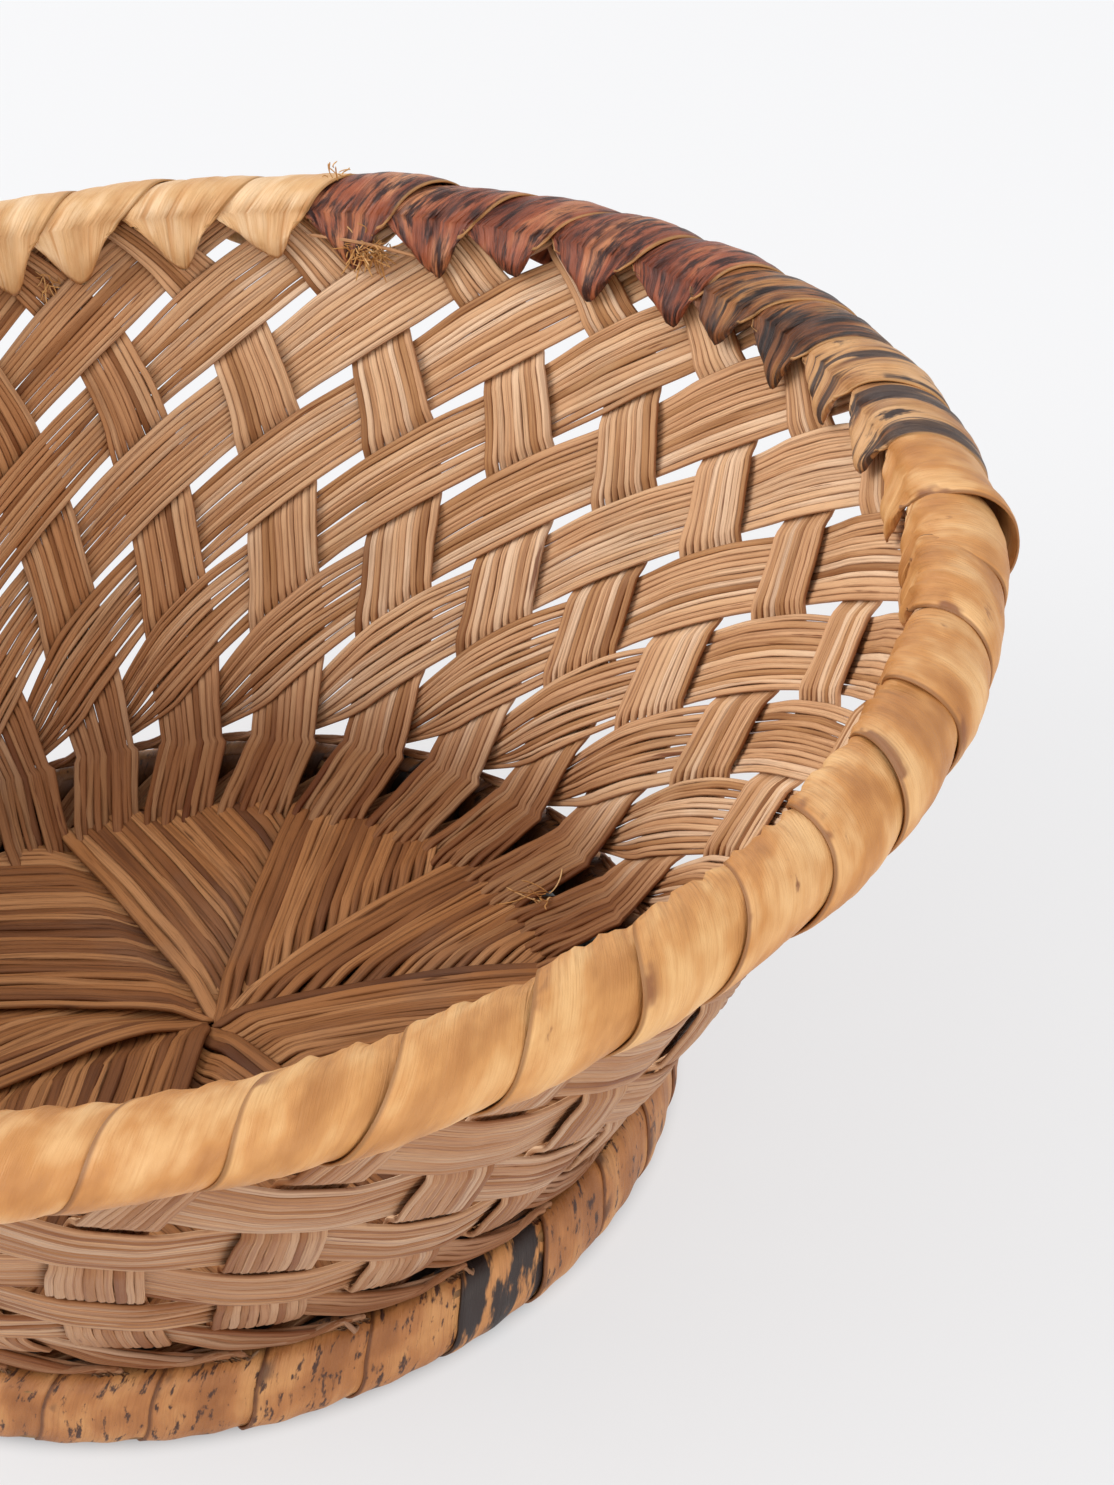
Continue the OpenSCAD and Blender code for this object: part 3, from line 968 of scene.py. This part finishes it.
def rim_rows(turns):
    """The outer surface of rim turns. Each starts as a point that lies on the wall under the
    rim, goes up round the inside on the slant, over the top and down outside to a second
    point. A turn's right edge lies on the next turn's left edge. The binding is slimmest round
    the dark turns. flap runs from 1 to 0 over the first point, roll from 0 to 1 round the rim
    and out from 0 to 1 over the second point."""
    u = np.linspace(0, 1, ACROSS)[None, None]
    # Twelve random numbers from -1 to 1 for each turn
    chance = np.random.default_rng(RIM_SEED).uniform(-1, 1, (RIM_TURNS, 12))
    chance = chance[turns].T[..., None, None]
    curled = (turns == CURLED_TURN)[:, None, None]
    flap_n, roll_n, out_n = 9, 44, 6
    flap = np.concatenate([np.linspace(1, 0, flap_n, endpoint=False), np.zeros(roll_n + out_n)])
    roll = np.concatenate([np.zeros(flap_n), np.linspace(0, 1, roll_n), np.ones(out_n)])
    out = np.concatenate([np.zeros(flap_n + roll_n), np.linspace(0, 1, out_n + 1)[1:]])
    flap, roll, out = (v[None, :, None] for v in (flap, roll, out))

    tip = 0.66 + 0.12 * chance[0]
    away = np.where(u < tip, (tip - u) / tip, (u - tip) / (1 - tip))
    pointed = 0.12 + 0.88 * (1 - away**1.5)
    start, end = 167 + 4 * pointed, -80
    psi = np.radians(start - (start - end) * roll)
    middle = RIM_PHASE + RIM_STEP * (turns[:, None, None] + 0.5)
    slim, pushed = rim_girth(middle)
    height = rim_swell(u, roll, flap, chance) * MM
    rr = RIM_C[0] + pushed + (RIM_HALF[0] * slim + height) * np.cos(psi)
    zz = RIM_C[1] + (RIM_HALF[1] * slim + height) * np.sin(psi)

    hang = 8.4 + 1.6 * chance[4] + 2.4 * curled
    depth = (1.6 + hang * pointed) * MM * flap
    tuck = 1.6 * MM * flap**4
    over = 0.8 * (RIM_HALF[0] * (1 - slim) + pushed) * smooth(flap / 0.75)
    depth_out = (4.6 + 1.2 * chance[5]) * MM * pointed * out
    rr = rr - 0.3 * depth + tuck - over - 0.6 * depth_out - 1.0 * MM * out**3
    zz = zz - 0.954 * depth - 0.8 * depth_out

    width = RIM_STEP * (1.17 - 0.25 * flap - 0.1 * out)
    slide = RIM_STEP * (roll - 0.5) * (1.05 + 0.25 * chance[10])
    edge_wave = 0.45 * sine(1.4 * roll + chance[7])
    azimuth = middle + 0.5 * chance[6] - (u - 0.5) * width - slide + edge_wave * (u - 0.5)
    azimuth = azimuth - (tip - u) * width * 0.2 * flap

    curl = 2.2 * MM * curled * smooth((u - 0.5) / 0.5)
    curl = curl * smooth((roll - 0.2) / 0.45) * smooth((1 - roll) / 0.2)
    wobble = 0.2 * np.sin(np.radians(3 * azimuth) + 0.7) + 0.25 * near(azimuth, 62, 14)
    rows = turned(rr + curl * np.cos(psi), zz + curl * np.sin(psi) + wobble * MM, azimuth)
    return rows, u[0, 0], distance_along(rows)


# The bark kinds round the rim, each from one azimuth to another, and honey elsewhere
RIM_KINDS = [
    ("striped", -6, 10),
    ("mottled", 10, 27),
    ("dark", 27, 63),
    ("pale", 63, 130),
    ("dark", 205, 236),
    ("straw", 273, 303),
]
# The slot of each kind and the CAD node whose turns it replaces
RIM_SLOTS = {
    "pale": ("bark_pale", ["rim_binding_pale"]),
    "straw": ("bark_pale", ["rim_binding_pale"]),
    "dark": ("bark_dark", ["rim_binding_dark"]),
    "mottled": ("bark_dark", ["rim_binding_dark"]),
    "striped": ("bark_striped", ["rim_binding_striped"]),
    "honey": ("bark_honey", ["rim_binding_honey"]),
}


def rim_kinds():
    """Which bark each rim turn is, by the azimuth of its middle."""
    middle = (RIM_PHASE + RIM_STEP * (np.arange(RIM_TURNS) + 0.5)) % 360
    kinds = np.full(RIM_TURNS, "honey", dtype=object)
    for kind, first, last in RIM_KINDS:
        kinds[(middle - first) % 360 < last - first] = kind
    return kinds


def make_rim():
    kinds = rim_kinds()
    for kind, (slot, nodes) in RIM_SLOTS.items():
        turns = np.flatnonzero(kinds == kind)
        rows, across, along = rim_rows(turns)
        bark = bark_rings(across, along, turns * 0.37 + 1.3)
        mesh = ring_mesh("rim_turns_" + kind, strip_rings(rows, 0.38 * MM), {"bark": bark})
        add_piece("rim_turns_" + kind, mesh, BARKS[kind], nodes)


def make_hoops():
    """The two cane rods inside the rim binding, each once round and a little past its start."""
    azimuth = np.linspace(0, 361, 181)
    slim, pushed = rim_girth(azimuth)
    for side, name in ((-1, "inner"), (1, "outer")):
        r = RIM_C[0] + pushed + side * 2.3 * MM * slim
        path = turned(r, np.full_like(r, RIM_C[1]), azimuth)[None]
        up = np.broadcast_to(np.array([0.0, 0.0, 1.0]), path.shape)
        half = slim[None] * MM
        mesh = strand_mesh("rim_rod_" + name, path, up, 1.9 * half, 2.7 * half, np.array([0.3]))
        add_piece("rim_rod_" + name, mesh, cane_floor, ["rim_hoop_" + name])


FOOT_TURNS = 32
FOOT_STEP = 360 / FOOT_TURNS
FOOT_HALF = (3.8, 6.8)  # half width and half height of what the foot turns go round, in mm
FOOT_SQUARE = 0.72  # power that squares off the foot ring's section
BLACK_TURNS = np.array([4, 9, 17, 26])


def foot_rows(turns):
    """The outer surface of foot ring turns: once round a rounded box section on a slight slant,
    each turn's right edge on the next one's left edge, flattened where it stands."""
    u = np.linspace(0, 1, ACROSS)[None, None]
    roll = np.linspace(0, 1, 52)[None, :, None]
    chance = np.random.default_rng(FOOT_SEED).uniform(-1, 1, (FOOT_TURNS, 4))
    chance = chance[turns].T[..., None, None]
    start, sweep = 118, 372
    psi = np.radians(start - sweep * roll)
    height = 0.1 + 0.3 * np.sin(np.pi * u) + 0.6 * u**1.4
    height = height * (1 + 0.3 * chance[0]) + 0.12 * sine(2.7 * u + roll + chance[1])
    rr = FOOT_C[0] + (FOOT_HALF[0] + height) * MM * squared_off(np.cos(psi), FOOT_SQUARE)
    zz = FOOT_C[1] + (FOOT_HALF[1] + height) * MM * squared_off(np.sin(psi), FOOT_SQUARE)
    zz = np.maximum(zz, 0.02 * MM + 0.25 * MM * height)
    centre = FOOT_STEP * (turns[:, None, None] + 0.5) + 0.5 * chance[2]
    azimuth = centre - (u - 0.5) * FOOT_STEP * 1.14 - FOOT_STEP * (roll - 0.5) * 0.9
    rows = turned(rr, zz, azimuth)
    return rows, u[0, 0], distance_along(rows)


def make_foot():
    tan = np.setdiff1d(np.arange(FOOT_TURNS), BLACK_TURNS)
    for turns, kind, slot, node in (
        (tan, "tan", "bark_tan", "foot_binding_tan"),
        (BLACK_TURNS, "black", "bark_black", "foot_binding_dark"),
    ):
        rows, across, along = foot_rows(turns)
        bark = bark_rings(across, along, turns * 0.41 + 2.2)
        mesh = ring_mesh("foot_turns_" + kind, strip_rings(rows, 0.5 * MM), {"bark": bark})
        add_piece("foot_turns_" + kind, mesh, BARKS[kind], [node])


# ---- Loose fibres ----

# Where fibres start: azimuth, radius, height, how many, how long, and which way they point
RIM_TUFTS = [
    (61.8, 134.4 * MM, 102.3 * MM, 90, 4.2 * MM, (0.3, -0.9, -0.4)),
    (60.4, 134.2 * MM, 101.8 * MM, 60, 3.6 * MM, (0.5, -0.8, -0.2)),
    (89, 134.8 * MM, 98.5 * MM, 16, 3.2 * MM, (0.0, -0.8, -0.6)),
    (64, 141 * MM, 114.5 * MM, 9, 2.2 * MM, (-0.3, 0.2, 0.7)),
]
TIE_ENDS = [(11, 74 * MM, 15 * MM, 9, 8 * MM, (-0.5, -0.6, 0.3))]


def fibres(name, spots, material):
    """Fine loose fibres: each a short random curl that starts near one of the spots and points
    about the way given there."""
    r = np.random.default_rng(61)
    lines = []
    t = np.linspace(0, 1, 14)[:, None]
    for azimuth, radius, height, count, length, heading in spots:
        for _ in range(count):
            start = turned(radius, height, azimuth) + r.normal(0, 0.9 * MM, 3)
            ahead = unit(np.array(heading) + r.normal(0, 0.55, 3))
            bend = r.normal(0, 0.6, 3)
            curl = np.sin(t * r.uniform(2, 6) + r.uniform(0, 6)) * r.normal(0, 0.1, 3)
            reach = length * r.uniform(0.5, 1.1)
            lines.append(start + reach * (t * ahead + t**2 * bend * 0.7 + curl))
    path = np.array(lines)
    up = np.broadcast_to(np.array([0.2, 0.1, 1.0]), path.shape)
    tone = r.uniform(0.1, 0.95, len(path))
    mesh = strand_mesh(name, path, up, 0.14 * MM, 0.1 * MM, tone)
    add_piece(name, mesh, material)


def make_loose_strand():
    """A thin strand that has slipped out below the first dark turn of the rim."""
    azimuth = np.linspace(66, 55, 40)
    share = np.linspace(0, 1, 40)
    radius = (135.0 - 1.5 * np.sin(np.pi * share) - 0.6 * share) * MM
    height = (104.5 - 3.6 * share + 1.2 * np.sin(np.pi * share)) * MM
    path = turned(radius, height, azimuth)[None]
    up = np.broadcast_to(turned(-1.0, 0.5, 60.0), path.shape)
    mesh = strand_mesh("loose_strand", path, up, 0.35 * MM, 0.22 * MM, np.array([0.35]))
    add_piece("loose_strand", mesh, cane_wall)


# ---- Building it ----


def finish_foot_hoop():
    """The foot hoop keeps its CAD mesh and gets a plain cane finish."""
    hoop, tree, shader = new_material("hoop_cane")
    g = Graph(tree)
    grain = g.noise(g.place(), scale=700, detail=4.0)
    colour = g.ramp(grain, [(0.3, "#5f3f24"), (0.7, "#99703f")])
    g.link(colour, shader.inputs["Base Color"])
    g.link(g.bump(grain, 0.4, 0.4 * MM), shader.inputs["Normal"])
    shader.inputs["Roughness"].default_value = 0.6
    for material_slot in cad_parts["foot_hoop"].material_slots:
        material_slot.material = hoop


make_stakes()
make_weavers()
make_loose_strand()
fibres("rim_fibres", RIM_TUFTS, fibre_pale)
fibres("tie_fibres", TIE_ENDS, fibre_pale)
for number in range(len(ARMS)):
    make_arm(number)
make_underlay()
make_rim()
make_hoops()
make_foot()
finish_foot_hoop()

# ---- Setting ----


def make_table():
    """A wide pale plane just below the basket, which glows a little to look like lit paper but
    not where the basket stands on it, so that a painted shadow lies under the basket."""
    half, drop = 20, 0.4 * MM
    mesh = bpy.data.meshes.new("floor")
    corners = [(x * half, y * half, -drop) for x, y in ((-1, -1), (1, -1), (1, 1), (-1, 1))]
    mesh.from_pydata(corners, [], [(0, 1, 2, 3)])
    paper, tree, shader = new_material("pale_table")
    shader.inputs["Base Color"].default_value = (0.23, 0.232, 0.24, 1)
    shader.inputs["Roughness"].default_value = 0.9
    shader.inputs["Specular IOR Level"].default_value = 0.15
    shader.inputs["Emission Color"].default_value = (0.985, 0.99, 1.0, 1)
    g = Graph(tree)
    # Painted shadow: the glow fades out under the basket.
    beside = g.step(g.radius(g.place()), 82 * MM, 92 * MM)
    g.link(g.times(beside, 0.66), shader.inputs["Emission Strength"])
    mesh.materials.append(paper)
    table = bpy.data.objects.new("floor", mesh)
    bpy.context.scene.collection.objects.link(table)
    return table


def area_light(name, place, aim, size, power, colour):
    """A round lamp at a place that shines towards another one."""
    data = bpy.data.lights.new(name, "AREA")
    data.shape = "DISK"
    data.size = size
    data.energy = power
    data.color = colour
    lamp = bpy.data.objects.new(name, data)
    bpy.context.scene.collection.objects.link(lamp)
    back = unit(np.array(place) - np.array(aim))
    side = unit(np.cross([0, 0, 1.0], back))
    up = np.cross(back, side)
    turn = Matrix(np.stack([side, up, back], 1).tolist()).to_4x4()
    lamp.matrix_world = Matrix.Translation(place) @ turn


CAMERA_PLACE = (0, -0.4757, 0.3949)
# Swing round, tilt down, roll, and turn from facing down to facing ahead
CAMERA_TURNS = [(-0.156, "Z"), (-0.6083, "X"), (0.0989, "Y"), (math.pi / 2, "X")]


def make_camera():
    """A long lens above the front, looking down into the basket."""
    data = bpy.data.cameras.new("camera")
    data.lens = 80.73
    data.sensor_width = 36
    data.clip_start = 0.01
    camera = bpy.data.objects.new("camera", data)
    bpy.context.scene.collection.objects.link(camera)
    view = Matrix.Translation(CAMERA_PLACE)
    for angle, axis in CAMERA_TURNS:
        view = view @ Matrix.Rotation(angle, 4, axis)
    camera.matrix_world = view
    bpy.context.scene.camera = camera


floor = make_table()
room = bpy.data.worlds.new("soft_room")
bpy.context.scene.world = room
room.use_nodes = True
sky = room.node_tree.nodes["Background"]
sky.inputs["Color"].default_value = (1.0, 0.99, 0.985, 1)
sky.inputs["Strength"].default_value = 0.9
area_light("window", (-2.2, 0.3, 1.55), (0, 0, 0.05), 2.2, 45, (1.0, 0.985, 0.96))
area_light("low_fill", (0.5, -1.5, 0.22), (0, 0, 0.05), 0.8, 9, (1.0, 0.92, 0.82))
make_camera()
bpy.context.scene.view_settings.view_transform = "Standard"
